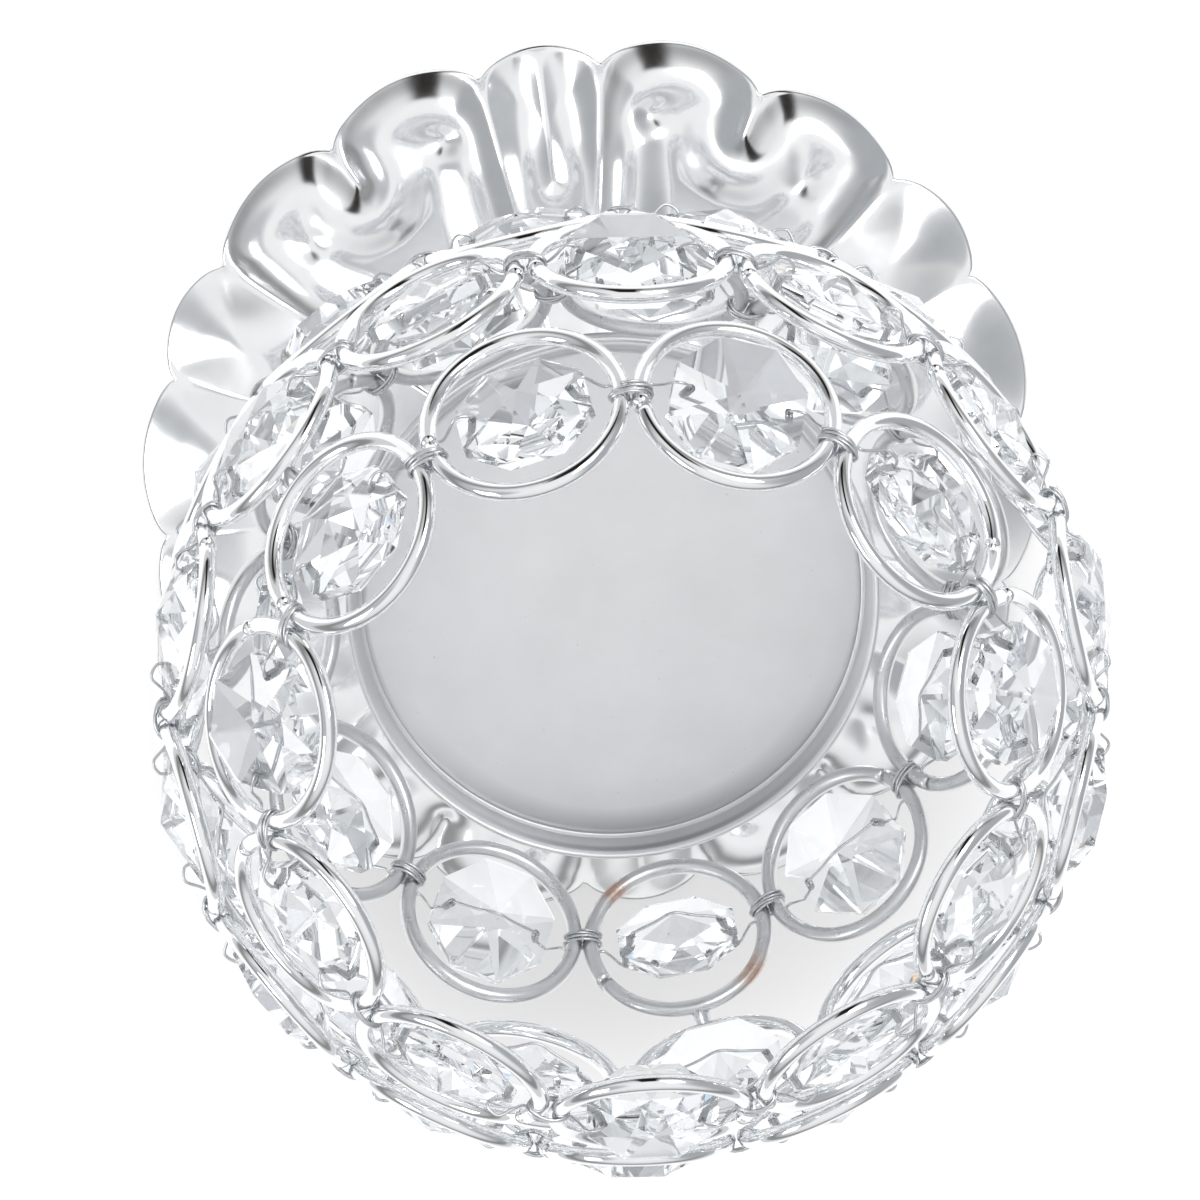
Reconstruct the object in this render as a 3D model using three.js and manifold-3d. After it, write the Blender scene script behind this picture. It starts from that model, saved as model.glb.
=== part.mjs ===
// Globe candlestick: a cage of wire rings hung with crystal beads stands round a candle pan,
// on a turned stem and a stamped tray with a scalloped edge.
// Millimetres, +Z up, origin under the middle of the tray, front towards -Y.
import * as THREE from "three";
import { mergeVertices } from "three/addons/utils/BufferGeometryUtils.js";
import Module from "manifold-3d";

const wasm = await Module();
wasm.setup();

// Clearance between pieces that touch, and round a wire or rod in its bore.
const seatGap = 0.3;

// Cage of wire rings: four closed rows, counted from the pan up to the mouth.
// Neighbours in a row sink into each other by the weld.
const ringDiameter = 22.8;
const ringWire = 1.6;
const ringWeld = 0.2;
const panRowCount = 11;
const wallRowCount = 14;
const mouthRowCount = 11;
const panRowTurn = 28;
const wallRowTurn = 6.1;
const mouthRowTurn = 19.2;
// Degrees that rings lean from upright. Beyond its own width, a wall row stands off the row below
// by the rise, and the rows at the two ends sink in by the dip.
const endRowLean = 36.5;
const wallRowLean = 10;
const endRowDip = 0.4;
const wallRowRise = 0.1;

// Crystal beads: eight sides, a rim, and a shallow pyramid on both faces, threaded on thin wire.
const beadWidth = 14;
const beadThickness = 6.6;
const beadRim = 2;
const beadSides = 8;
const threadWire = 0.5;
const restSwivel = 22;
const swivelStep = 137.5;

// Candle pan with a low flared wall, and the blind socket under it that takes the rod.
const panSheet = 0.8;
const panWall = 4.4;
const panFlare = 1.4;
const socketRadius = 6;
const socketCrown = 1.2;

// Stem: a threaded rod draws the foot, the column and the cup together between socket and nut.
const rodRadius = 3;
const rodTail = 1.5;
const collarRadius = 6.4;
const collarHeight = 1.6;
const footRadius = 10.5;
const footHeight = 7;
const columnWaist = 4.6;
const columnSwell = 7.2;
const columnHeight = 31;
const cupRadius = 17;
const cupWall = 1.4;
const cupFloor = 2;
const cupHeight = 9;
const washerRadius = 8;
const washerThickness = 1.2;
const nutAcrossFlats = 10;
const nutHeight = 5;

// Stamped tray. Its upper face falls from the hub through the throat to the floor of the bowl.
const trayRadius = 58;
const traySheet = 0.8;
const rimLand = 1.2;
const hubRadius = 12;
const hubHeight = 13;
const throatRadius = 20;
const throatHeight = 7.4;
const bowlRadius = 34;
const bowlHeight = 3.4;
// A round ridge follows the edge of the scroll lobes and turns in along the grooves beside them.
// The fan and the shell lobes swell into petals, which flatten out towards the hub.
const ridgeWidth = 8.6;
const ridgeHeight = 4.2;
const petalRise = 7;
const petalHeight = 3.8;
const petalLength = 24;
// A quarter of the edge in degrees, from the middle of the front fan to the side: half the fan,
// two scroll lobes and two shell lobes. At the end of each lobe a notch of a given depth goes over
// into a groove, which dies out at a given radius. One more groove parts the fan.
const lobeSpans = [8.2, 22.1, 21.5, 16.6, 21.6];
const notchDepths = [4.3, 4, 3.4, 2.8, 2.8];
const grooveEnds = [26, 49, 28, 31, 31];
const fanGrooveEnd = 40;
const fanRecess = 1.1;
const lobeRoundness = 0.6;

// Straight facets that stand for a round.
const ringFacets = 12;
const threadFacets = 3;
const turnedFacets = 16;
const panFacets = 36;
const lobeFacetSpan = 5.5;

const chrome = { color: 0xc9ccd0, roughness: 0.12, metalness: 1 };
const satinSteel = { color: 0xb4b7ba, roughness: 0.45, metalness: 1 };
const zincSteel = { color: 0x9b9da0, roughness: 0.5, metalness: 1 };
const glass = { color: 0xeef3f6, roughness: 0.03, metalness: 0, transparent: true, opacity: 0.45 };

const upAxis = new THREE.Vector3(0, 0, 1);
const candlestick = new THREE.Group();

function piece(name, geometry, finish) {
  const mesh = new THREE.Mesh(geometry, new THREE.MeshStandardMaterial(finish));
  mesh.name = name;
  return mesh;
}

// A closed geometry as a solid that can be joined to others or cut.
function solidFrom(geometry) {
  const bare = geometry.clone();
  bare.deleteAttribute("normal");
  bare.deleteAttribute("uv");
  const merged = mergeVertices(bare, 1e-4);
  const mesh = new wasm.Mesh({
    numProp: 3,
    vertProperties: new Float32Array(merged.attributes.position.array),
    triVerts: new Uint32Array(merged.index.array),
  });
  return new wasm.Manifold(mesh);
}

function geometryFrom(solid) {
  const mesh = solid.getMesh();
  const geometry = new THREE.BufferGeometry();
  geometry.setAttribute("position", new THREE.BufferAttribute(mesh.vertProperties, 3));
  geometry.setIndex(new THREE.BufferAttribute(mesh.triVerts, 1));
  return geometry;
}

function joined(geometries) {
  return geometryFrom(geometries.map(solidFrom).reduce((whole, next) => whole.add(next)));
}

function cut(geometry, tool) {
  return geometryFrom(solidFrom(geometry).subtract(solidFrom(tool)));
}

// A turned piece: an outline of [radius, height] points revolved about the upright axis.
function turned(outline, facets = turnedFacets) {
  const points = outline.map(([radius, height]) => new THREE.Vector2(radius, height));
  return new THREE.LatheGeometry(points, facets).rotateX(Math.PI / 2);
}

// A turned piece with a plain bore: the outline goes up its outside and the bore closes it.
function turnedWithBore(outside, bore) {
  const bottom = outside[0][1];
  const top = outside[outside.length - 1][1];
  return turned([[bore, bottom], ...outside, [bore, top], [bore, bottom]]);
}

// Layout of the cage. Heights are counted from the lowest row.
// The ring's wire is drawn square, with the section of the round wire.
const ringRadius = ringDiameter / 2;
const wireSide = (ringWire * Math.sqrt(Math.PI)) / 2;
const ringCentreLine = ringRadius - wireSide / 2;
const ringPitch = 2 * ringRadius * Math.cos(Math.PI / wallRowCount) - ringWeld;
const endRowPitch = ringDiameter - endRowDip;
const wallRowPitch = ringDiameter + wallRowRise;

// Radius of the hoop that a closed row of welded rings makes.
function hoopRadius(count) {
  return ringPitch / 2 / Math.sin(Math.PI / count);
}

// Where a ring that comes down on the row below has its centre one row pitch from the nearest ring's.
function settledHeight(below, rowPitch, radius, azimuth) {
  let height = -Infinity;
  for (const ring of below) {
    const turn = Math.cos(azimuth - ring.azimuth);
    const span = radius ** 2 + ring.radius ** 2 - 2 * radius * ring.radius * turn;
    if (span < rowPitch ** 2) {
      height = Math.max(height, ring.height + Math.sqrt(rowPitch ** 2 - span));
    }
  }
  return height;
}

// A row stays level: it comes down until the first of its rings rests on the row below.
function layRow(count, turn, leanDegrees, below, rowPitch) {
  const radius = hoopRadius(count);
  const lean = THREE.MathUtils.degToRad(leanDegrees);
  const azimuths = Array.from({ length: count }, (_, index) =>
    THREE.MathUtils.degToRad(turn + (360 * index) / count),
  );
  const rests = azimuths.map((azimuth) =>
    below ? settledHeight(below, rowPitch, radius, azimuth) : 0,
  );
  const height = Math.max(...rests);
  return azimuths.map((azimuth) => ({ radius, azimuth, height, lean }));
}

const halfPitch = 180 / wallRowCount;
const panRow = layRow(panRowCount, panRowTurn, -endRowLean);
const lowerRow = layRow(wallRowCount, wallRowTurn + halfPitch, -wallRowLean, panRow, endRowPitch);
const upperRow = layRow(wallRowCount, wallRowTurn, wallRowLean, lowerRow, wallRowPitch);
const mouthRow = layRow(mouthRowCount, mouthRowTurn, endRowLean, upperRow, endRowPitch);

// Heights up the stem, each piece standing on the one below.
const footBottom = hubHeight + seatGap;
const columnBottom = footBottom + footHeight + seatGap;
const cupBottom = columnBottom + columnHeight + seatGap;
const panBottom = cupBottom + cupHeight + seatGap;
const panFloor = panBottom + panSheet;
const panRim = panFloor + panWall;
const rodBore = rodRadius + seatGap;

// The lowest row stands round the pan, the feet of its rings level with the pan's rim.
const panRowLean = THREE.MathUtils.degToRad(endRowLean);
const panRowHeight = panRim + ringCentreLine * Math.cos(panRowLean);
const ringFootRadius = hoopRadius(panRowCount) - ringCentreLine * Math.sin(panRowLean);
const footReach = (wireSide / 2) * (Math.cos(panRowLean) + Math.sin(panRowLean));
const panRimRadius = ringFootRadius - footReach - seatGap;
const panFloorRadius = panRimRadius - panFlare;

// A frame at a ring's centre: X along the row, Y up the globe, Z outwards.
function ringFrame(ring) {
  const outward = new THREE.Vector3(Math.cos(ring.lean), 0, Math.sin(ring.lean));
  const along = new THREE.Vector3(0, 1, 0);
  const upward = new THREE.Vector3().crossVectors(outward, along);
  const frame = new THREE.Group();
  frame.position.set(ring.radius, 0, panRowHeight + ring.height);
  frame.setRotationFromMatrix(new THREE.Matrix4().makeBasis(along, upward, outward));
  frame.position.applyAxisAngle(upAxis, ring.azimuth);
  frame.rotateOnWorldAxis(upAxis, ring.azimuth);
  frame.updateMatrix();
  return frame;
}

// One bead, flat in its ring, with two of its sides square to the wire.
function bead() {
  const corner = beadWidth / 2 / Math.cos(Math.PI / beadSides);
  const outline = [
    [0, -beadThickness / 2],
    [corner, -beadRim / 2],
    [corner, beadRim / 2],
    [0, beadThickness / 2],
  ];
  return turned(outline, beadSides).rotateZ(Math.PI / beadSides);
}

// A straight length of wire or a bore along X, through a ring's centre.
function lengthAlongRow(radius, length, facets) {
  return new THREE.CylinderGeometry(radius, radius, length, facets).rotateZ(Math.PI / 2);
}

function boredBead() {
  const boreFacets = 4;
  const boreRadius = (threadWire / 2 + seatGap) / Math.cos(Math.PI / boreFacets);
  return cut(bead(), lengthAlongRow(boreRadius, 2 * beadWidth, boreFacets));
}

// How far a bead has turned on its wire as it hangs.
function beadSwivel(index) {
  return THREE.MathUtils.degToRad(restSwivel * Math.sin(THREE.MathUtils.degToRad(swivelStep * index)));
}

// A wire ring with flats where its neighbours lean on it.
function wireRing() {
  const flatToCorner = 1 / Math.cos(Math.PI / ringFacets);
  const outer = ringRadius * flatToCorner;
  const inner = (ringRadius - wireSide) * flatToCorner;
  const section = [
    [inner, -wireSide / 2],
    [outer, -wireSide / 2],
    [outer, wireSide / 2],
    [inner, wireSide / 2],
    [inner, -wireSide / 2],
  ];
  return turned(section, ringFacets).rotateZ(Math.PI / ringFacets);
}

// One row of the cage: rings welded side by side, with the thread wire across each ring.
// Where the beads are not pieces of their own they are fast on the wire.
function ringRow(row, beadsFast) {
  const shapes = row.flatMap((ring, index) => {
    const placed = ringFrame(ring).matrix;
    const thread = lengthAlongRow(threadWire / 2, 2 * ringCentreLine, threadFacets);
    const fast = beadsFast ? [bead().rotateX(beadSwivel(index))] : [];
    return [wireRing(), thread, ...fast].map((shape) => shape.applyMatrix4(placed));
  });
  return joined(shapes);
}

// Beads that turn on their wire, one piece each, in the frame of their ring.
function turningBeads(row, name) {
  return row.map((ring, index) => {
    const frame = ringFrame(ring);
    const crystal = piece(`${name}_${String(index + 1).padStart(2, "0")}`, boredBead(), glass);
    crystal.rotation.x = beadSwivel(index);
    frame.add(crystal);
    return frame;
  });
}

function candlePan() {
  return turned(
    [
      [0, panBottom],
      [panFloorRadius, panBottom],
      [panRimRadius, panRim],
      [panRimRadius - panSheet, panRim],
      [panFloorRadius - panSheet, panFloor],
      [0, panFloor],
    ],
    panFacets,
  );
}

// The socket fills the cup's hollow between its floor and the pan.
const socketTop = panBottom - seatGap;
const socketBottom = cupBottom + cupFloor + seatGap;

function panSocket() {
  return turned([
    [0, socketTop - socketCrown],
    [rodBore, socketTop - socketCrown],
    [rodBore, socketBottom],
    [socketRadius, socketBottom],
    [socketRadius, socketTop],
    [0, socketTop],
  ]);
}

function stemCup() {
  const top = cupBottom + cupHeight;
  const hollow = socketRadius + seatGap;
  return turned([
    [rodBore, cupBottom],
    [collarRadius, cupBottom],
    [collarRadius, cupBottom + collarHeight],
    [hollow + cupWall, cupBottom + cupFloor],
    [cupRadius, top],
    [cupRadius - cupWall, top],
    [hollow, cupBottom + cupFloor],
    [rodBore, cupBottom + cupFloor],
    [rodBore, cupBottom],
  ]);
}

function stemColumn() {
  const top = columnBottom + columnHeight;
  const outside = [
    [collarRadius, columnBottom],
    [collarRadius, columnBottom + collarHeight],
    [columnWaist, columnBottom + 2 * collarHeight],
    [columnSwell, columnBottom + columnHeight / 2],
    [columnWaist, top - 2 * collarHeight],
    [collarRadius, top - collarHeight],
    [collarRadius, top],
  ];
  return turnedWithBore(outside, rodBore);
}

function stemFoot() {
  const top = footBottom + footHeight;
  const outside = [
    [footRadius, footBottom],
    [footRadius, footBottom + collarHeight],
    [(footRadius + collarRadius) / 2, footBottom + footHeight / 2],
    [collarRadius, top - collarHeight],
    [collarRadius, top],
  ];
  return turnedWithBore(outside, rodBore);
}

// Washer and nut hang under the hub and clamp the tray.
const washerTop = hubHeight - traySheet - seatGap;
const nutTop = washerTop - washerThickness - seatGap;
const rodBottom = nutTop - nutHeight - rodTail;
const rodTop = socketTop - socketCrown - seatGap;

function clampWasher() {
  const bottom = washerTop - washerThickness;
  return turnedWithBore(
    [
      [washerRadius, bottom],
      [washerRadius, washerTop],
    ],
    rodBore,
  );
}

function clampNut() {
  const corner = nutAcrossFlats / Math.sqrt(3);
  const corners = Array.from({ length: 6 }, (_, index) => {
    const angle = (Math.PI / 3) * index;
    return new THREE.Vector2(corner * Math.cos(angle), corner * Math.sin(angle));
  });
  const outline = new THREE.Shape(corners);
  outline.holes.push(new THREE.Path().absarc(0, 0, rodBore, 0, 2 * Math.PI, true));
  const options = { depth: nutHeight, bevelEnabled: false, curveSegments: turnedFacets / 2 };
  return new THREE.ExtrudeGeometry(outline, options).translate(0, 0, nutTop - nutHeight);
}

function stemRod() {
  return turned([
    [0, rodBottom],
    [rodRadius, rodBottom],
    [rodRadius, rodTop],
    [0, rodTop],
  ]);
}

// Angles of the spokes over a quarter of the tray, with more of them on the wider lobes.
function quarterSpokes() {
  const spokes = [];
  let start = 0;
  for (const span of lobeSpans) {
    const facets = Math.max(2, Math.round(span / lobeFacetSpan));
    for (let facet = 0; facet < facets; facet += 1) {
      spokes.push(start + (span * facet) / facets);
    }
    start += span;
  }
  return spokes;
}

// Where an angle from the front fan lies in its quarter: the lobe, and the share of the way along it.
function placeInQuarter(angle) {
  const half = angle % 180;
  const turn = half > 90 ? 180 - half : half;
  let lobe = 0;
  let start = 0;
  while (lobe < lobeSpans.length - 1 && turn >= start + lobeSpans[lobe]) {
    start += lobeSpans[lobe];
    lobe += 1;
  }
  return { turn, lobe, along: Math.min((turn - start) / lobeSpans[lobe], 1) };
}

// Reach of the tray's edge: each lobe is an arch between two notches, and the fan is one arch too.
function edgeReach({ lobe, along }) {
  const fan = lobe === 0;
  const recess = fan ? fanRecess : 0;
  const arch = Math.sin(Math.PI * (fan ? (1 + along) / 2 : along)) ** lobeRoundness;
  const notch = THREE.MathUtils.lerp(notchDepths[Math.max(lobe - 1, 0)], notchDepths[lobe], along);
  return trayRadius - recess - (notch - recess) * (1 - arch);
}

// Distance from a point of the tray to the nearest groove, a straight line in from each notch.
function grooveDistance(turn, radius) {
  let nearest = Infinity;
  let start = 0;
  [fanGrooveEnd, ...grooveEnds].forEach((end, index) => {
    const away = THREE.MathUtils.degToRad(turn - start);
    const short = Math.max(end - radius * Math.cos(away), 0);
    nearest = Math.min(nearest, Math.hypot(radius * Math.sin(away), short));
    start += lobeSpans[index] ?? 0;
  });
  return nearest;
}

// The plain face under ridges and petals, at a radius and a distance inside the land of the edge.
function floorHeight(radius, inside) {
  if (radius < throatRadius) {
    const fall = THREE.MathUtils.clamp((radius - hubRadius) / (throatRadius - hubRadius), 0, 1);
    return THREE.MathUtils.lerp(hubHeight, throatHeight, fall);
  }
  if (radius < bowlRadius) {
    const fall = (radius - throatRadius) / (bowlRadius - throatRadius);
    return THREE.MathUtils.lerp(throatHeight, bowlHeight, fall);
  }
  return THREE.MathUtils.lerp(traySheet, bowlHeight, THREE.MathUtils.clamp(inside / ridgeWidth, 0, 1));
}

// Height of the tray's upper face.
function trayHeight(place, radius) {
  const inside = Math.max(edgeReach(place) - rimLand - radius, 0);
  const nearest = Math.min(inside, grooveDistance(place.turn, radius));
  const ridge = ridgeHeight * Math.sin(Math.PI * Math.min(nearest / ridgeWidth, 1));
  const petal = petalHeight * Math.sin((Math.PI / 2) * Math.min(nearest / petalRise, 1));
  const flattened = 1 - THREE.MathUtils.smoothstep(inside, petalLength / 2, petalLength);
  const relief = place.lobe === 1 || place.lobe === 2 ? ridge : petal * flattened;
  return floorHeight(radius, inside) + relief * THREE.MathUtils.smoothstep(radius, throatRadius, bowlRadius);
}

// One spoke of the tray: out over the upper face and back under the sheet, in fewer steps there.
function traySpoke(angle) {
  const place = placeInQuarter(angle);
  const reach = edgeReach(place);
  const land = reach - rimLand;
  const foot = land - ridgeWidth;
  const crest = land - ridgeWidth / 2;
  const middle = [rodBore, hubRadius, throatRadius, bowlRadius, foot];
  const over = [...middle, (foot + crest) / 2, crest, (crest + land) / 2, land, reach];
  const under = [...middle, crest, land, reach].reverse();
  const azimuth = THREE.MathUtils.degToRad(angle - 90);
  const onSpoke = (radius, drop) => [
    radius * Math.cos(azimuth),
    radius * Math.sin(azimuth),
    trayHeight(place, radius) - drop,
  ];
  return {
    over: over.map((radius) => onSpoke(radius, 0)),
    under: under.map((radius) => onSpoke(radius, traySheet)),
  };
}

// Height of the line from one point to another where, seen from above, it crosses a second line.
function crossingHeight([x, y, z], [endX, endY, endZ], [lineX, lineY], [lineEndX, lineEndY]) {
  const alongX = lineEndX - lineX;
  const alongY = lineEndY - lineY;
  const whole = (endX - x) * alongY - (endY - y) * alongX;
  const share = ((lineX - x) * alongY - (lineY - y) * alongX) / whole;
  return z + (endZ - z) * share;
}

// A closed skin round the axis through one section loop per spoke. A patch between two spokes is
// split along its higher diagonal on the upper face and its lower one below, so the sheet holds.
function skinRound(loops, upperSteps) {
  const around = loops[0].length;
  const index = [];
  loops.forEach((loop, spoke) => {
    const nextSpoke = (spoke + 1) % loops.length;
    const nextLoop = loops[nextSpoke];
    const here = spoke * around;
    const next = nextSpoke * around;
    for (let step = 0; step < around; step += 1) {
      const after = (step + 1) % around;
      const outward = [loop[step], nextLoop[after]];
      const inward = [loop[after], nextLoop[step]];
      const higher = crossingHeight(...outward, ...inward) > crossingHeight(...inward, ...outward);
      if (step < upperSteps === higher) {
        index.push(here + step, here + after, next + after);
        index.push(here + step, next + after, next + step);
      } else {
        index.push(here + step, here + after, next + step);
        index.push(here + after, next + after, next + step);
      }
    }
  });
  const geometry = new THREE.BufferGeometry();
  geometry.setAttribute("position", new THREE.Float32BufferAttribute(loops.flat(2), 3));
  geometry.setIndex(index);
  return geometry;
}

function baseTray() {
  const quarter = quarterSpokes();
  const mirrored = [90, ...quarter.slice(1).reverse()].map((angle) => 180 - angle);
  const half = [...quarter, ...mirrored];
  const spokes = [...half, ...half.map((angle) => angle + 180)];
  const sections = spokes.map(traySpoke);
  const loops = sections.map(({ over, under }) => [...over, ...under]);
  return skinRound(loops, sections[0].over.length);
}

candlestick.add(
  piece("base_tray", baseTray(), chrome),
  piece("base_washer", clampWasher(), zincSteel),
  piece("base_nut", clampNut(), zincSteel),
  piece("stem_rod", stemRod(), zincSteel),
  piece("stem_foot", stemFoot(), chrome),
  piece("stem_column", stemColumn(), chrome),
  piece("stem_cup", stemCup(), chrome),
  piece("pan_socket", panSocket(), zincSteel),
  piece("candle_pan", candlePan(), satinSteel),
  piece("pan_ring_row", ringRow(panRow, true), chrome),
  piece("lower_ring_row", ringRow(lowerRow, false), chrome),
  piece("upper_ring_row", ringRow(upperRow, false), chrome),
  piece("mouth_ring_row", ringRow(mouthRow, false), chrome),
  ...turningBeads(lowerRow, "lower_crystal"),
  ...turningBeads(upperRow, "upper_crystal"),
  ...turningBeads(mouthRow, "mouth_crystal"),
);

export default candlestick;
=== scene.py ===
import bpy
import numpy as np
from mathutils import Matrix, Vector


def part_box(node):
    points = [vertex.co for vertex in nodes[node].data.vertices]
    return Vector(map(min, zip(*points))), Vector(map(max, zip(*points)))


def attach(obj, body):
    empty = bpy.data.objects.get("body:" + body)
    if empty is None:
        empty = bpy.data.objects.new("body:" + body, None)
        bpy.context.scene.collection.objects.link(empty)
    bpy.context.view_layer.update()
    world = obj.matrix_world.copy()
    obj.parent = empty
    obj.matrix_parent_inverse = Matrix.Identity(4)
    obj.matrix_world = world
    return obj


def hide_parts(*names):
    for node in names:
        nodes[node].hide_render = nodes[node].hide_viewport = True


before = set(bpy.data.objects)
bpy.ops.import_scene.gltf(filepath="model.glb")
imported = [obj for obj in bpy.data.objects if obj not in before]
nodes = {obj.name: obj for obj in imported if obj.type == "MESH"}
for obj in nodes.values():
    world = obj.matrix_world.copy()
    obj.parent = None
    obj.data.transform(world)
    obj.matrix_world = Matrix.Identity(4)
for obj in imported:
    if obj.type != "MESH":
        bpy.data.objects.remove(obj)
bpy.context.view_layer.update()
mm = 0.001
root = "stand"


def hexColour(text):  # sRGB hex to linear RGBA
    srgb = np.array([int(text[i : i + 2], 16) for i in (1, 3, 5)]) / 255
    linear = np.where(srgb <= 0.04045, srgb / 12.92, ((srgb + 0.055) / 1.055) ** 2.4)
    return (*linear.tolist(), 1.0)


def patternScale(gap):  # scale of a noise whose features lie about a gap of millimetres apart
    return 1 / (gap * mm)


def addNode(tree, kind, sockets=None, **settings):
    # one node, its settings, its values and links. A colour mix has its share at socket 0,
    # its two colours at 6 and 7, and its result at 2
    made = tree.nodes.new(kind)
    for key, value in settings.items():
        setattr(made, key, value)
    for key, value in (sockets or {}).items():
        if isinstance(value, bpy.types.NodeSocket):
            tree.links.new(value, made.inputs[key])
        else:
            made.inputs[key].default_value = value
    return made


def newFinish(name, **values):
    # a material whose constants sit on the shader's own sockets, and the place its patterns read
    made = bpy.data.materials.new(name)
    made.use_nodes = True
    tree = made.node_tree
    shader = tree.nodes["Principled BSDF"]
    for key, value in values.items():
        shader.inputs[key.replace("_", " ")].default_value = value
    place = addNode(tree, "ShaderNodeTexCoord").outputs["Object"]
    return made, tree, shader, place


def unit(vectors):  # each vector over its own length
    return vectors / np.linalg.norm(vectors, axis=-1, keepdims=True)


def fullTurn(steps):  # even angles round a circle
    return np.linspace(0, 2 * np.pi, steps, endpoint=False)


def circlePoints(turn, radius, height=0.0):  # points at angles round the upright axis
    return np.stack([radius * np.cos(turn), radius * np.sin(turn), height + 0 * turn], -1)


def smoothStep(low, high, x):  # 0 up to low, 1 from high, and 3t^2 - 2t^3 between them
    t = np.clip((x - low) / (high - low), 0, 1)
    return t * t * (3 - 2 * t)


def plateau(edges, x):  # rises over the first two edges and falls over the last two
    return smoothStep(*edges[:2], x) * (1 - smoothStep(*edges[2:], x))


def gridFaces(rows, cols, closeRows=False, closeCols=False):
    # quads between neighbours of a rows x cols grid, wrapped where a direction closes
    i = np.arange(rows if closeRows else rows - 1)[:, None]
    j = np.arange(cols if closeCols else cols - 1)[None]
    ni, nj = (i + 1) % rows, (j + 1) % cols
    corners = [i * cols + j, ni * cols + j, ni * cols + nj, i * cols + nj]
    return np.stack([np.broadcast_to(c, np.broadcast(i, j).shape) for c in corners], -1).reshape(-1, 4)


def copied(faces, copies, size):
    # the faces of each copy, whose points follow those of the copy before
    return [[i + size * copy for i in face] for copy in range(copies) for face in faces]


def sweep(paths, radius, sides, reference):
    # a round section carried along paths (copies, steps, 3): one axis of the section is the
    # reference direction made square to the path, the other is square to both
    forward = unit(np.gradient(paths, axis=1))
    across = unit(reference - np.sum(reference * forward, -1, keepdims=True) * forward)
    over = np.cross(across, forward)
    turn = fullTurn(sides)[:, None]
    ring = np.cos(turn) * across[:, :, None] + np.sin(turn) * over[:, :, None]
    return paths[:, :, None] + radius * ring


def sweepFaces(copies, steps, sides):
    # the quads of every copy, and one lid at each end of its tube
    lid = np.arange(sides)
    ends = [lid.tolist(), (lid[::-1] + (steps - 1) * sides).tolist()]
    faces = gridFaces(steps, sides, closeCols=True).tolist() + ends
    return copied(faces, copies, steps * sides)


def lathe(outline, spokes):
    # a profile (radius, height) turned round the upright axis
    return circlePoints(fullTurn(spokes)[:, None], outline[:, 0], outline[:, 1])


def rounded(points, steps):
    # Catmull-Rom through the points: each span is a cubic whose ends keep the neighbours' slope
    p = np.asarray(points, float)
    p = np.concatenate([2 * p[:1] - p[1:2], p, 2 * p[-1:] - p[-2:-1]])
    t = np.linspace(0, 1, steps, endpoint=False)[:, None]
    a, b, c, d = (p[k : len(p) - 3 + k, None] for k in range(4))
    square = 2 * a - 5 * b + 4 * c - d
    cubic = 3 * b - a - 3 * c + d
    spans = 0.5 * (2 * b + (c - a) * t + square * t**2 + cubic * t**3)
    return np.concatenate([spans.reshape(-1, p.shape[1]), p[-2:-1]])


def addPiece(name, points, faces, finishes, body, smooth=True, slots=None):
    # a mesh in place, in metres, that rides on a body of the frame
    mesh = bpy.data.meshes.new(name)
    mesh.from_pydata((np.asarray(points).reshape(-1, 3) * mm).tolist(), [], list(faces))
    for finish in finishes:
        mesh.materials.append(finish)
    if slots is not None:
        mesh.polygons.foreach_set("material_index", np.asarray(slots, np.int32))
    mesh.polygons.foreach_set("use_smooth", np.full(len(mesh.polygons), smooth))
    mesh.update()
    made = bpy.data.objects.new(name, mesh)
    bpy.context.scene.collection.objects.link(made)
    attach(made, body)
    return made


def addAttribute(piece, name, values):  # one number for each point, for a finish to read
    made = piece.data.attributes.new(name, "FLOAT", "POINT")
    made.data.foreach_set("value", values.reshape(-1).astype(np.float32))


plating = dict(
    hazeGap=2.38,  # between patches of haze
    waveGap=6.25,  # between waves in the plating
    patchGap=1.11,  # between worn patches
    wornFrom=0.1,  # wear times patch where copper begins to show, and where it shows in full
    wornFull=0.5,
    copper="#C6AC9D",
)


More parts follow.
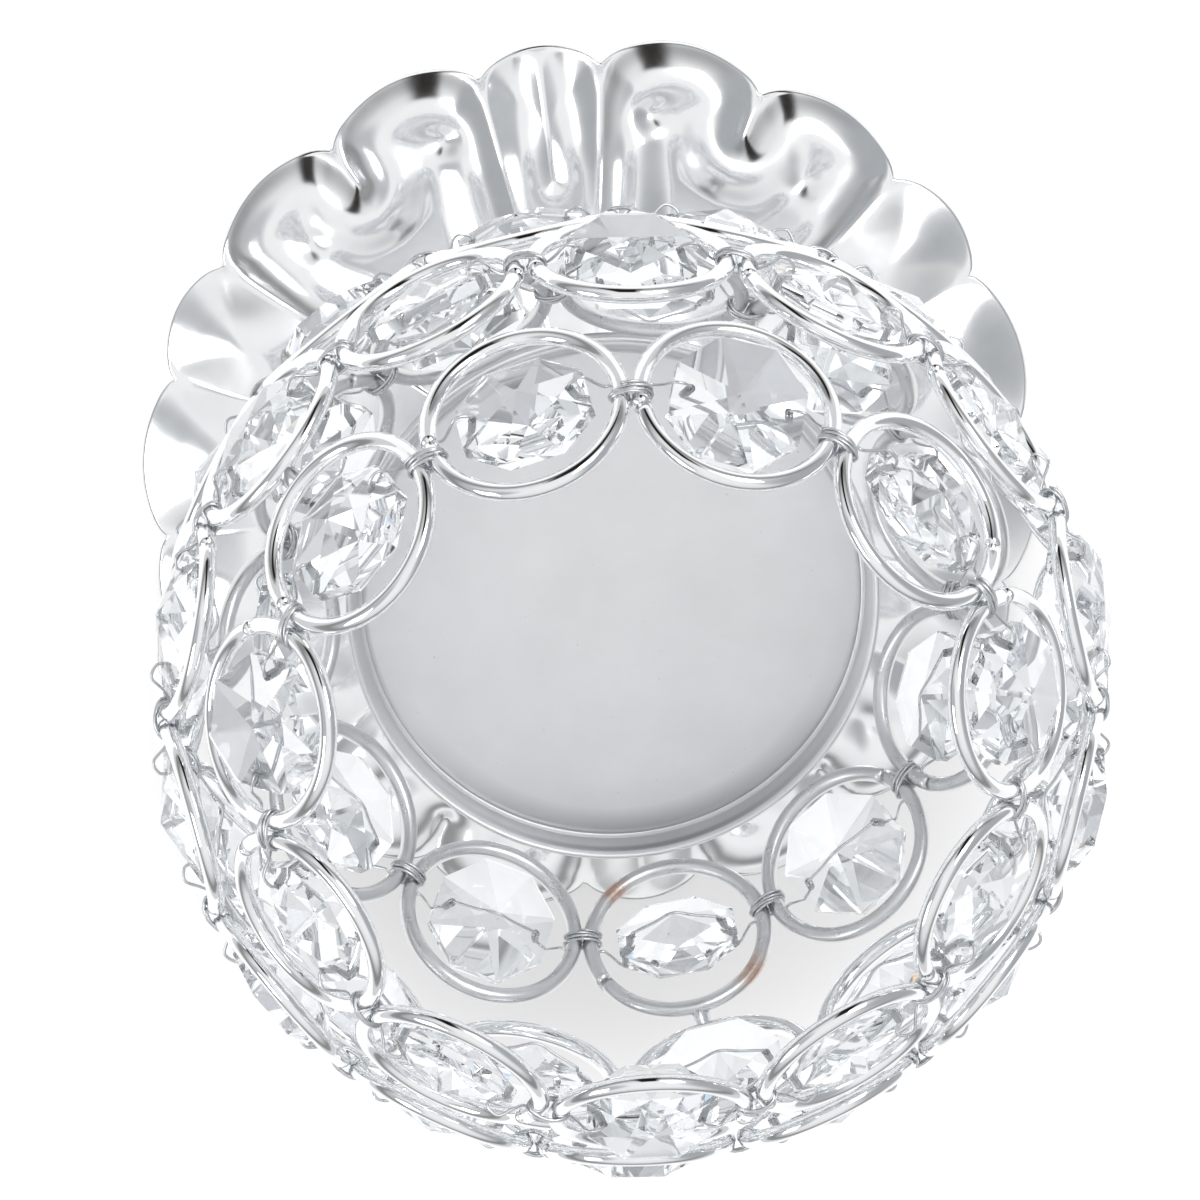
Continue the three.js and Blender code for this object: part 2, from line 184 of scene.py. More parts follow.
def chromePlate(name, tint, waveDepth, haziness, wears=False):
    # plated drawn or stamped steel: a mirror under a haze, with slow waves in the plating
    finish, tree, shader, place = newFinish(name, Metallic=1.0)
    noise = {"Vector": place, "Scale": patternScale(plating["hazeGap"]), "Detail": 3.0}
    haze = addNode(tree, "ShaderNodeTexNoise", noise).outputs["Fac"]
    rough = addNode(
        tree, "ShaderNodeMapRange", {"Value": haze, "To Min": haziness[0], "To Max": haziness[1]}
    )
    tree.links.new(rough.outputs["Result"], shader.inputs["Roughness"])
    noise = {"Vector": place, "Scale": patternScale(plating["waveGap"]), "Detail": 1.0}
    wave = addNode(tree, "ShaderNodeTexNoise", noise).outputs["Fac"]
    depth = waveDepth * mm
    bump = addNode(tree, "ShaderNodeBump", {"Height": wave, "Strength": 1.0, "Distance": depth})
    tree.links.new(bump.outputs["Normal"], shader.inputs["Normal"])
    tone = addNode(
        tree,
        "ShaderNodeMix",
        {0: haze, 6: hexColour(tint[0]), 7: hexColour(tint[1])},
        data_type="RGBA",
    ).outputs[2]
    if wears:
        # where the plating has rubbed through, the copper under it shows in patches
        worn = addNode(tree, "ShaderNodeAttribute", attribute_name="worn").outputs["Fac"]
        noise = {"Vector": place, "Scale": patternScale(plating["patchGap"]), "Detail": 4.0}
        patch = addNode(tree, "ShaderNodeTexNoise", noise).outputs["Fac"]
        cover = addNode(tree, "ShaderNodeMath", {0: worn, 1: patch}, operation="MULTIPLY").outputs[0]
        cover = addNode(
            tree,
            "ShaderNodeMapRange",
            {"Value": cover, "From Min": plating["wornFrom"], "From Max": plating["wornFull"]},
        ).outputs["Result"]
        copper = hexColour(plating["copper"])
        tone = addNode(
            tree, "ShaderNodeMix", {0: cover, 6: tone, 7: copper}, data_type="RGBA"
        ).outputs[2]
    tree.links.new(tone, shader.inputs["Base Color"])
    return finish


satin = dict(
    scratchGap=1 / 6,  # coarser than real grinding, so that it shows
    scratchLength=25 / 6,
    scratchDepth=0.02,
    roughness=(0.36, 0.56),
    cloudGap=11.1,
    clouds=("#DEDEE0", "#F0F0F2"),
    speckGap=0.556,
    speckFrom=0.74,  # noise where a speck begins, and where it is darkest
    speckFull=0.84,
    speck="#C2C4C7",
    # painted shade for the corner round the floor and the wall inside the lip
    paintedShade="#8F9296",
)


def satinSheet():
    # steel sheet ground to a satin: fine scratches along X, cloudy tone, a few dark specks, and painted
    # shade
    finish, tree, shader, place = newFinish("satin ground steel", Metallic=1.0)
    stretch = (satin["scratchGap"] / satin["scratchLength"], 1.0, 1.0)
    along = addNode(tree, "ShaderNodeMapping", {"Vector": place, "Scale": stretch}).outputs["Vector"]
    noise = {"Vector": along, "Scale": patternScale(satin["scratchGap"]), "Detail": 3.0}
    lines = addNode(tree, "ShaderNodeTexNoise", noise).outputs["Fac"]
    noise = {"Vector": place, "Scale": patternScale(satin["cloudGap"]), "Detail": 4.0}
    cloud = addNode(tree, "ShaderNodeTexNoise", noise).outputs["Fac"]
    noise = {"Vector": place, "Scale": patternScale(satin["speckGap"]), "Detail": 2.0}
    grain = addNode(tree, "ShaderNodeTexNoise", noise).outputs["Fac"]
    speck = addNode(
        tree,
        "ShaderNodeMapRange",
        {"Value": grain, "From Min": satin["speckFrom"], "From Max": satin["speckFull"]},
    ).outputs["Result"]
    # painted shade in the corner round the floor and on the wall inside the lip, darker on the far side
    corner = addNode(tree, "ShaderNodeAttribute", attribute_name="corner").outputs["Fac"]
    darkCloud, paleCloud = satin["clouds"]
    tone = hexColour(darkCloud)
    for share, over in ((cloud, paleCloud), (speck, satin["speck"]), (corner, satin["paintedShade"])):
        tone = addNode(
            tree, "ShaderNodeMix", {0: share, 6: tone, 7: hexColour(over)}, data_type="RGBA"
        ).outputs[2]
    tree.links.new(tone, shader.inputs["Base Color"])
    low, high = satin["roughness"]
    rough = addNode(tree, "ShaderNodeMapRange", {"Value": lines, "To Min": low, "To Max": high})
    tree.links.new(rough.outputs["Result"], shader.inputs["Roughness"])
    depth = satin["scratchDepth"] * mm
    bump = addNode(tree, "ShaderNodeBump", {"Height": lines, "Strength": 0.35, "Distance": depth})
    tree.links.new(bump.outputs["Normal"], shader.inputs["Normal"])
    return finish


def leadGlass(name, tint, clear, ior, gap, roughness):
    # lead crystal, next to no tint: clear with faint smears where it is cut and polished, white
    # with fine grit in a hole that is left as it was drilled
    finish, tree, shader, place = newFinish(
        name, Transmission_Weight=clear, IOR=ior, Base_Color=hexColour(tint)
    )
    noise = {"Vector": place, "Scale": patternScale(gap), "Detail": 2.0}
    skin = addNode(tree, "ShaderNodeTexNoise", noise).outputs["Fac"]
    rough = addNode(
        tree, "ShaderNodeMapRange", {"Value": skin, "To Min": roughness[0], "To Max": roughness[1]}
    )
    tree.links.new(rough.outputs["Result"], shader.inputs["Roughness"])
    return finish


def dullMetal(name, tint, roughness, gap, depth=0.02):
    # tinned wire, solder or zinc plating: soft grey metal with a fine uneven skin
    finish, tree, shader, place = newFinish(name, Metallic=1.0)
    noise = {"Vector": place, "Scale": patternScale(gap), "Detail": 4.0}
    skin = addNode(tree, "ShaderNodeTexNoise", noise).outputs["Fac"]
    tone = addNode(
        tree,
        "ShaderNodeMix",
        {0: skin, 6: hexColour(tint[0]), 7: hexColour(tint[1])},
        data_type="RGBA",
    ).outputs[2]
    tree.links.new(tone, shader.inputs["Base Color"])
    rough = addNode(
        tree, "ShaderNodeMapRange", {"Value": skin, "To Min": roughness[0], "To Max": roughness[1]}
    )
    tree.links.new(rough.outputs["Result"], shader.inputs["Roughness"])
    bump = addNode(tree, "ShaderNodeBump", {"Height": skin, "Strength": 0.4, "Distance": depth * mm})
    tree.links.new(bump.outputs["Normal"], shader.inputs["Normal"])
    return finish


ringChrome = chromePlate(
    "chromed steel wire", ("#E6E8EA", "#F2F3F4"), waveDepth=0.02, haziness=(0.02, 0.06)
)
dullChrome = chromePlate(
    "dull plated wire", ("#CFD0D2", "#E0E1E2"), waveDepth=0.02, haziness=(0.22, 0.36), wears=True
)
trayChrome = chromePlate(
    "chromed stamped sheet", ("#E8EAEC", "#F3F4F5"), waveDepth=0.05, haziness=(0.12, 0.2)
)
stemChrome = chromePlate(
    "chromed turned steel", ("#E4E6E8", "#F0F1F2"), waveDepth=0.02, haziness=(0.03, 0.11)
)
panSatin = satinSheet()
crystalGlass = leadGlass(
    "cut lead crystal", "#F1F3F5", clear=1.0, ior=1.52, gap=3.33, roughness=(0.0, 0.02)
)
drilledGlass = leadGlass(
    "drilled glass", "#F4F6F7", clear=0.75, ior=1.45, gap=0.2, roughness=(0.35, 0.6)
)
tinnedWire = dullMetal("tinned wire", ("#B9BBBE", "#D9DBDD"), roughness=(0.22, 0.36), gap=0.667)
softSolder = dullMetal("soft solder", ("#C2C4C6", "#DEE0E1"), roughness=(0.16, 0.34), gap=1.43)
zincPlate = dullMetal("zinc plated steel", ("#8E9093", "#A9ABAE"), roughness=(0.35, 0.5), gap=1.11)
print("finishes ready")


cage = dict(
    ringDiameter=22.8,
    ringWeld=0.2,  # neighbours in a row sit this much closer than touching
    endLean=36.5,  # degrees, of the first and the last row
    wallLean=10.0,
    endDip=0.4,  # an end row sits this much closer to its neighbour than one ring
    wallRise=0.1,  # and the two wall rows this much further apart
    endCount=11,
    wallCount=14,
    panTurn=28.0,  # degrees round the globe to a row's first ring
    wallTurn=6.1,
    mouthTurn=19.2,
    solidWire=1.6,  # the solid rings' square wire has the section of this round one
    panRim=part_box("candle_pan")[1].z / mm,
    worn=((2, 231, 11), (2, 42, 14)),  # worn places: ring of the pan row, angle on it and spread
)


def layRow(count, turn, lean, below=None, rowPitch=0.0):
    # a closed hoop of rings; it stays level and comes down until the first of its rings has its
    # centre one row pitch from a ring below
    ringPitch = cage["ringDiameter"] * np.cos(np.pi / cage["wallCount"]) - cage["ringWeld"]
    radius = ringPitch / 2 / np.sin(np.pi / count)
    azimuth = np.radians(turn + 360 * np.arange(count) / count)
    height = 0.0
    if below is not None:
        turnCos = np.cos(azimuth[:, None] - below["azimuth"][None])
        span = radius**2 + below["radius"] ** 2 - 2 * radius * below["radius"] * turnCos
        height = below["height"] + np.sqrt(np.maximum(rowPitch**2 - span, 0)).max()
    return dict(radius=radius, azimuth=azimuth, height=height, lean=np.radians(lean))


def addRingFrames(row):
    # centre and axes of every ring: along the row, up the globe, outwards
    a, lean = row["azimuth"], row["lean"]
    row["centre"] = circlePoints(a, row["radius"], row["height"] + cage["base"])
    row["along"] = np.stack([-np.sin(a), np.cos(a), 0 * a], -1)
    row["out"] = circlePoints(a, np.cos(lean), np.sin(lean))
    row["up"] = np.cross(row["out"], row["along"])


def inRing(row, points):
    # points in ring axes (rings, n, 3) or (n, 3), carried to the object's frame
    p = np.broadcast_to(points, (len(row["centre"]), *np.shape(points)[-2:]))
    axes = np.stack([row["along"], row["up"], row["out"]], 1)
    return row["centre"][:, None] + np.einsum("rnk,rkc->rnc", p, axes)


solidSide = cage["solidWire"] * np.sqrt(np.pi) / 2
solidCentreLine = cage["ringDiameter"] / 2 - solidSide / 2
cage["base"] = cage["panRim"] + solidCentreLine * np.cos(np.radians(cage["endLean"]))
endPitch = cage["ringDiameter"] - cage["endDip"]
wallPitch = cage["ringDiameter"] + cage["wallRise"]
halfStep = 180 / cage["wallCount"]
panRow = layRow(cage["endCount"], cage["panTurn"], -cage["endLean"])
lowerRow = layRow(cage["wallCount"], cage["wallTurn"] + halfStep, -cage["wallLean"], panRow, endPitch)
upperRow = layRow(cage["wallCount"], cage["wallTurn"], cage["wallLean"], lowerRow, wallPitch)
mouthRow = layRow(cage["endCount"], cage["mouthTurn"], cage["endLean"], upperRow, endPitch)
panRow["worn"] = cage["worn"]
rows = dict(pan=panRow, lower=lowerRow, upper=upperRow, mouth=mouthRow)
for row in rows.values():
    addRingFrames(row)
print("cage laid out, mouth at", round(float(mouthRow["height"] + cage["base"]), 2))


ringShape = dict(
    centreLine=10.3,
    wire=1.9,
    buttGap=0.35,
    buttSpread=0.5,  # radians that the butt may lie from its tie
    steps=88,
    sides=14,
    seed=40,
)


def addRings(name, row, seed, finish):
    # each ring is a circle of wire bent round until its ends almost butt, near one of its ties
    count, spread = len(row["azimuth"]), ringShape["buttSpread"]
    rng = np.random.default_rng(seed)
    gapAngle = np.where(rng.random(count) < 0.5, 0.0, np.pi) + rng.uniform(-spread, spread, count)
    halfGap = ringShape["buttGap"] / 2 / ringShape["centreLine"]
    t = gapAngle[:, None] + np.linspace(halfGap, 2 * np.pi - halfGap, ringShape["steps"])
    flat = circlePoints(t, ringShape["centreLine"])
    skin = sweep(flat, ringShape["wire"] / 2, ringShape["sides"], np.array([0.0, 0.0, 1.0]))
    points = inRing(row, skin.reshape(count, -1, 3))
    faces = sweepFaces(count, ringShape["steps"], ringShape["sides"])
    made = addPiece(f"{name}Rings", points, faces, [finish], root)
    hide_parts(f"{name}_ring_row")
    worn = np.zeros((count, ringShape["steps"], ringShape["sides"]))
    for ring, angle, wornSpread in row.get("worn", []):
        off = np.angle(np.exp(1j * (t[ring] - np.radians(angle))))
        worn[ring] += np.exp(-((off / np.radians(wornSpread)) ** 2))[:, None]
    addAttribute(made, "worn", worn)


for index, (name, row) in enumerate(rows.items()):
    addRings(name, row, ringShape["seed"] + index, dullChrome if name == "pan" else ringChrome)
print("rings wound")


tieShape = dict(
    wire=0.36,
    turns=3.5,
    lead=0.42,
    slant=0.35,  # the most that a tie's turns lean along the wires
    slack=0.08,  # share by which turns stand off or sit tight, and how fast that changes
    slackRate=1.7,
    bulge=1.12,  # turns stand off this much more where they cross from wire to wire
    steps=64,
    sides=6,
    seed=70,
)


def wireTowards(row, other):
    # the point of each ring's wire that is nearest to the ring at another index
    away = row["centre"][other] - row["centre"]
    flat = away - np.sum(away * row["out"], -1, keepdims=True) * row["out"]
    return row["centre"] + unit(flat) * ringShape["centreLine"]


def addTies(name, row, seed):
    # thin wire wound in an oblong helix round the two wires that meet
    count = len(row["azimuth"])
    following = (np.arange(count) + 1) % count
    here = wireTowards(row, following)
    there = wireTowards(row, (np.arange(count) - 1) % count)[following]
    middle, across = (here + there) / 2, there - here
    half = np.linalg.norm(across, axis=-1)[:, None] / 2
    across = unit(across)
    out = unit(row["out"] + row["out"][following])
    out = unit(out - np.sum(out * across, -1, keepdims=True) * across)
    along = np.cross(out, across)
    rng = np.random.default_rng(seed)
    start = rng.uniform(0, 2 * np.pi, count)[:, None]
    slant = rng.uniform(-tieShape["slant"], tieShape["slant"], count)[:, None]
    u = np.linspace(0, tieShape["turns"] * 2 * np.pi, tieShape["steps"])[None]
    clear = ringShape["wire"] / 2 + tieShape["wire"] / 2
    loose = 1 + tieShape["slack"] * np.sin(tieShape["slackRate"] * u + start)
    x = (half + clear) * np.cos(u + start) * loose
    z = clear * tieShape["bulge"] * np.sin(u + start) * loose
    y = tieShape["lead"] * (u / (2 * np.pi) - tieShape["turns"] / 2) + slant * np.cos(u + start)
    path = middle[:, None] + x[..., None] * across[:, None] + y[..., None] * along[:, None]
    path = path + z[..., None] * out[:, None]
    skin = sweep(path, tieShape["wire"] / 2, tieShape["sides"], along[:, None])
    faces = sweepFaces(count, tieShape["steps"], tieShape["sides"])
    addPiece(f"{name}Ties", skin, faces, [tinnedWire], root)


solder = dict(
    reach=3.0,  # wires whose middles come closer than this get a drop
    cover=0.45,  # how far a drop goes past the middle of each wire
    along=1.0,
    out=0.72,
    lumps=(0.16, 0.1),  # unevenness round a drop and from end to end
    phaseStep=2.4,
    samples=72,  # points tried on each ring
    bands=11,
    spokes=16,
)


def ringCircles(row):
    # points on the middle of every ring's wire
    return inRing(row, circlePoints(fullTurn(solder["samples"]), ringShape["centreLine"]))


def ballFaces(bands, spokes):
    # a fan round each pole, and quads between the rings of points from pole to pole
    j = np.arange(spokes)
    k, last = (j + 1) % spokes, 1 + (bands - 2) * spokes
    first = np.stack([0 * j, 1 + k, 1 + j], -1)
    final = np.stack([0 * j + last, last - spokes + j, last - spokes + k], -1)
    quads = 1 + gridFaces(bands - 2, spokes, closeCols=True)[:, ::-1]
    return first.tolist() + quads.tolist() + final.tolist()


def addSolder(name, below, above):
    # a drop of solder where rings of two rows come close: a ball drawn out along the two wires
    low, high = ringCircles(below), ringCircles(above)
    samples, bands, spokes = solder["samples"], solder["bands"], solder["spokes"]
    apart = np.linalg.norm(high.reshape(-1, 3)[:, None] - low.reshape(-1, 3)[None], axis=-1)
    apart = apart.reshape(len(high), samples, len(low), samples).transpose(0, 2, 1, 3)
    apart = apart.reshape(len(high), len(low), -1)
    ring, other = np.nonzero(apart.min(-1) < solder["reach"])
    spot = apart[ring, other].argmin(-1)
    upper, lower = high[ring, spot // samples], low[other, spot % samples]
    middle, gap = (upper + lower) / 2, upper - lower
    wide = np.linalg.norm(gap, axis=-1)[:, None, None, None] / 2
    gap = unit(gap)
    out = unit(np.concatenate([middle[:, :2], middle[:, 2:] * 0], 1))
    side = unit(np.cross(gap, out))
    out = np.cross(side, gap)
    v = np.linspace(0, np.pi, bands)[None, :, None, None]
    u = fullTurn(spokes)[None, None, :, None]
    phase = (np.arange(len(ring)) * solder["phaseStep"])[:, None, None, None]
    lump = 1 + solder["lumps"][0] * np.sin(2 * u + phase) * np.sin(v)
    lump = lump + solder["lumps"][1] * np.cos(3 * v + phase)
    gap, side, out = (axis[:, None, None] for axis in (gap, side, out))
    points = middle[:, None, None] + lump * (
        (wide + solder["cover"]) * np.cos(v) * gap
        + solder["along"] * np.sin(v) * np.cos(u) * side
        + solder["out"] * np.sin(v) * np.sin(u) * out
    )
    rings = points[:, 1:-1].reshape(len(ring), -1, 3)
    points = np.concatenate([points[:, 0, :1], rings, points[:, -1, :1]], 1)
    faces = copied(ballFaces(bands, spokes), len(ring), points.shape[1])
    addPiece(name, points, faces, [softSolder], root)


for index, (name, row) in enumerate(rows.items()):
    addTies(name, row, tieShape["seed"] + index)
order = list(rows.values())
for name, below, above in zip(("panSolder", "wallSolder", "mouthSolder"), order, order[1:]):
    addSolder(name, below, above)
print("ties wound, rows soldered")


crystal = dict(
    width=14.0,
    thickness=6.6,
    girdle=1.5,
    kite=0.6,  # share of the way out to the rim where the break facets begin
    holeAt=5.25,
    hole=1.0,
    holeSides=10,
    holeInset=0.02,  # keeps a hole's ends under the facets
    threadWire=0.34,
    threadSides=6,
    threadSteps=5,
    swivel=22.0,  # degrees that a bead may hang turned, and how the beads of a row differ
    swivelStep=137.5,
)


def halfThick(share):
    # half a bead's thickness at a share of the way out: a straight slope from point to girdle
    top, rim = crystal["thickness"] / 2, crystal["girdle"] / 2
    return top - (top - rim) * share


def crystalForm():
    # octagon bead: eight kites meet in a point on each face, pairs of break facets fill the corners,
    # and a narrow girdle joins the two faces. Kites lie flat between the point and a side's middle.
    flat, rim = crystal["width"] / 2, crystal["girdle"] / 2
    corner = flat / np.cos(np.pi / 8)
    sideTurn = np.arange(8) * np.pi / 4
    cornerTurn = sideTurn + np.pi / 8
    edge = np.empty((16, 3))
    edge[0::2] = circlePoints(sideTurn, flat)
    edge[1::2] = circlePoints(cornerTurn, corner)
    inner = circlePoints(cornerTurn, crystal["kite"] * corner, halfThick(crystal["kite"]))
    point = np.array([[0, 0, halfThick(0)]])
    flip = np.array([1.0, 1.0, -1.0])
    points = np.concatenate(
        [point, inner, edge + [0, 0, rim], edge - [0, 0, rim], inner * flip, point * flip]
    )
    # first point of each ring in that list: front kites, front edge, back edge, back kites, back point
    innerAt, upperAt, lowerAt, backAt, lastAt = 1, 9, 25, 41, 49
    k, e = np.arange(8), np.arange(16)
    kites = np.stack([0 * k, innerAt + (k - 1) % 8, upperAt + 2 * k, innerAt + k], -1)
    breakA = np.stack([innerAt + k, upperAt + 2 * k, upperAt + 2 * k + 1], -1)
    breakB = np.stack([innerAt + k, upperAt + 2 * k + 1, upperAt + (2 * k + 2) % 16], -1)
    girdle = np.stack([upperAt + e, lowerAt + e, lowerAt + (e + 1) % 16, upperAt + (e + 1) % 16], -1)
    # the back has the front's facets, turned round, on the points opposite
    opposite = np.concatenate([[lastAt], backAt + k, lowerAt + e])
    front = [kites, breakA, breakB]
    back = [opposite[facets[:, ::-1]] for facets in front]
    return points, [face for facets in (*front, girdle, *back) for face in facets.tolist()]


def holeForm():
    # the two drilled holes: plain tubes from face to face, near opposite sides
    at, sides = crystal["holeAt"], crystal["holeSides"]
    half = halfThick(at / (crystal["width"] / 2)) - crystal["holeInset"]
    tube = circlePoints(fullTurn(sides), crystal["hole"] / 2)
    one = (tube[None] + np.array([[0, 0, half], [0, 0, -half]])[:, None]).reshape(-1, 3)
    points = np.concatenate([one - [at, 0, 0], one + [at, 0, 0]])
    quads = gridFaces(2, sides, closeCols=True)
    return points, np.concatenate([quads, quads + len(one)]).tolist()


def threadForm():
    # the wire leaves the tie, bows over the face into a hole, crosses the back and comes out again
    at, slim, sides = crystal["holeAt"], crystal["threadWire"], crystal["threadSides"]
    top, half = halfThick(0), halfThick(at / (crystal["width"] / 2))
    left = [
        [-10.2, 0.0, 0.0],
        [-9.5, 0.0, 0.0],
        [-8.8, 0.0, 0.05],
        [-8.0, 0.1, 0.95],
        [-7.0, 0.1, half + 0.9],
        [-at - 0.5, 0.0, half + 0.75],
        [-at, 0.0, half],
        [-at, 0.0, -half],
        [-at + 0.6, 0.1, -half - 0.55],
        [-2.4, 0.25, -top + 0.55],
    ]
    middle = [[0.0, 0.3, -top - slim]]
    right = [[-x, y, z] for x, y, z in left[::-1]]
    path = rounded(left + middle + right, crystal["threadSteps"])
    skin = sweep(path[None], slim / 2, sides, np.array([0.0, 1.0, 0.0]))
    return skin.reshape(-1, 3), sweepFaces(1, len(path), sides)


def swivelled(points, angles):
    # turned about the wire's line by each bead's own angle
    c, s = np.cos(angles)[:, None], np.sin(angles)[:, None]
    x, y, z = points[None, :, 0] + 0 * c, points[None, :, 1], points[None, :, 2]
    return np.stack([x, c * y - s * z, s * y + c * z], -1)


crystalPoints, crystalFaces = crystalForm()
holePoints, holeFaces = holeForm()
threadPoints, threadFaces = threadForm()
beadPoints = np.concatenate([crystalPoints, holePoints])
beadFaces = crystalFaces + [[i + len(crystalPoints) for i in face] for face in holeFaces]
beadSlots = [0] * len(crystalFaces) + [1] * len(holeFaces)


def addBeads(name, tail, body, beads, threads):
    # beads and their threads on one body, as many copies as the arrays hold
    copies = len(beads)
    made = addPiece(
        f"{name}Crystal{tail}",
        beads,
        copied(beadFaces, copies, len(beadPoints)),
        [crystalGlass, drilledGlass],
        body,
        smooth=False,
        slots=beadSlots * copies,
    )
    faces = copied(threadFaces, copies, len(threadPoints))
    addPiece(f"{name}Thread{tail}", threads, faces, [tinnedWire], body)
    return made


for name, row in rows.items():
    count = len(row["azimuth"])
    swivel = crystal["swivel"] * np.sin(np.radians(crystal["swivelStep"] * np.arange(count)))
    beads = inRing(row, swivelled(beadPoints, np.radians(swivel)))
    threads = inRing(row, swivelled(threadPoints, np.radians(swivel)))
    if name == "pan":  # the beads of the pan row are fast on the stand
        addBeads(name, "s", root, beads, threads)
        continue
    for index in range(count):
        number = f"{index + 1:02d}"
        body = f"{name}_crystal_{number}"
        made = addBeads(name, number, body, beads[index : index + 1], threads[index : index + 1])
        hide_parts(body)
print("crystals threaded")


pan = dict(
    sheet=0.8,
    flare=0.75,
    hub=0.5,
    steps=4,
    spokes=160,
    cornerEdges=(-4.5, -0.9, -0.7, -0.3),  # from the wall: floor's painted shade starts, is full, fades, ends
    cornerPaintedShade=(0.04, 0.68),  # painted shade all round, and more on the far side
    wallEdges=(-2.4, -1.2, -0.8, -0.4),  # from the lip: the same for the wall inside
    # how dark the painted shade on the wall inside the lip is, on the far side
    wallPaintedShade=0.8,
)


def addPan():
    # a dished profile turned round: flat floor, small fillet, flared wall, rolled lip, and back under
    # the sheet, with a small disc to close the middle on each side
    low, high = (np.array(c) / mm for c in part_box("candle_pan"))
    rim, bottom, lip = high[0], low[2], high[2]
    floor, s = bottom + pan["sheet"], pan["sheet"]
    inner = rim - pan["flare"] - s
    hub = pan["hub"]
    outline = [[hub, floor], [inner * 0.5, floor], [inner - 1.1, floor]]
    outline += [[inner - 0.75, floor - 0.1], [inner - 0.4, floor - 0.02]]
    outline += [[inner - 0.05, floor + 0.25], [inner + 0.12, floor + 0.7]]
    outline += [[rim - s - 0.15, lip - 0.7], [rim - s, lip - 0.25], [rim - s / 2, lip]]
    outline += [[rim - 0.08, lip - 0.22], [rim - 0.1, lip - 0.7]]
    outline += [[inner + s + 0.2, bottom + 0.9], [inner + s - 0.1, bottom + 0.25]]
    outline += [[inner + 0.3, bottom], [inner * 0.5, bottom], [hub, bottom]]
    outline = rounded(outline, pan["steps"])[::-1]
    points = lathe(outline, pan["spokes"])
    faces = gridFaces(pan["spokes"], len(outline), closeRows=True).tolist()
    disc = np.arange(pan["spokes"]) * len(outline)
    faces += [disc[::-1].tolist(), (disc + len(outline) - 1).tolist()]
    made = addPiece("candlePan", points, faces, [panSatin], root)
    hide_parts("candle_pan")
    # painted shade in the corner round the floor and on the wall inside the lip, heavier on the far
    # side
    farSide = np.clip(np.sin(fullTurn(pan["spokes"])), 0, 1)[:, None]
    reach, height = outline[:, 0], outline[:, 1]
    everywhere, more = pan["cornerPaintedShade"]
    dark = plateau(pan["cornerEdges"], reach - inner) * (everywhere + more * farSide**2)
    wall = plateau(pan["wallEdges"], height - lip) * (reach < inner + s)
    addAttribute(made, "corner", dark + wall * pan["wallPaintedShade"] * farSide**4)


addPan()


stem = dict(bore=3.3, collar=6.4, waist=4.6, swell=7.2, foot=10.5, cup=17.0, steps=5, spokes=96)


def addTurned(name, node, outline):
    # a turned profile through rounded points, with its bore: radius, and share of the node's height
    low, high = (np.array(c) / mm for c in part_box(node))
    outline = np.asarray(outline, float)
    outline[:, 1] = low[2] + outline[:, 1] * (high[2] - low[2])
    bore, curve = stem["bore"], rounded(outline, stem["steps"])
    outline = np.concatenate([[[bore, low[2]]], curve, [[bore, high[2]]]])
    points = lathe(outline, stem["spokes"])
    faces = gridFaces(stem["spokes"], len(outline), closeRows=True, closeCols=True).tolist()
    made = addPiece(name, points, faces, [stemChrome], root)
    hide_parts(node)


collar, waist, foot, cup = (stem[key] for key in ("collar", "waist", "foot", "cup"))
addTurned(
    "stemColumn",
    "stem_column",
    [[collar - 0.3, 0.0], [collar, 0.02], [collar, 0.06], [collar - 0.4, 0.085]]
    + [[waist + 0.3, 0.12], [waist, 0.17], [waist + 0.9, 0.3]]
    + [[stem["swell"], 0.5]]
    + [[waist + 0.9, 0.7], [waist, 0.83], [waist + 0.3, 0.88]]
    + [[collar - 0.4, 0.915], [collar, 0.94], [collar, 0.98], [collar - 0.3, 1.0]],
)
addTurned(
    "stemFoot",
    "stem_foot",
    [[foot - 0.4, 0.0], [foot, 0.05], [foot, 0.18], [foot - 0.5, 0.24], [8.3, 0.5]]
    + [[collar + 0.4, 0.72], [collar, 0.8], [collar, 0.95], [collar - 0.3, 1.0]],
)
addTurned(
    "stemCup",
    "stem_cup",
    [[collar - 0.3, 0.0], [collar, 0.03], [collar, 0.15], [collar + 0.6, 0.2]]
    + [[9.0, 0.34], [12.5, 0.6], [15.6, 0.84]]
    + [[cup - 0.15, 0.96], [cup - 0.5, 1.0], [cup - 1.2, 1.0], [cup - 1.5, 0.95]]
    + [[14.2, 0.84], [11.0, 0.6], [7.8, 0.36], [6.6, 0.26], [6.0, 0.23], [3.6, 0.225]],
)
for node in ("stem_rod", "base_nut", "base_washer", "pan_socket"):
    nodes[node].data.materials.clear()
    nodes[node].data.materials.append(zincPlate)
print("pan and stem turned")


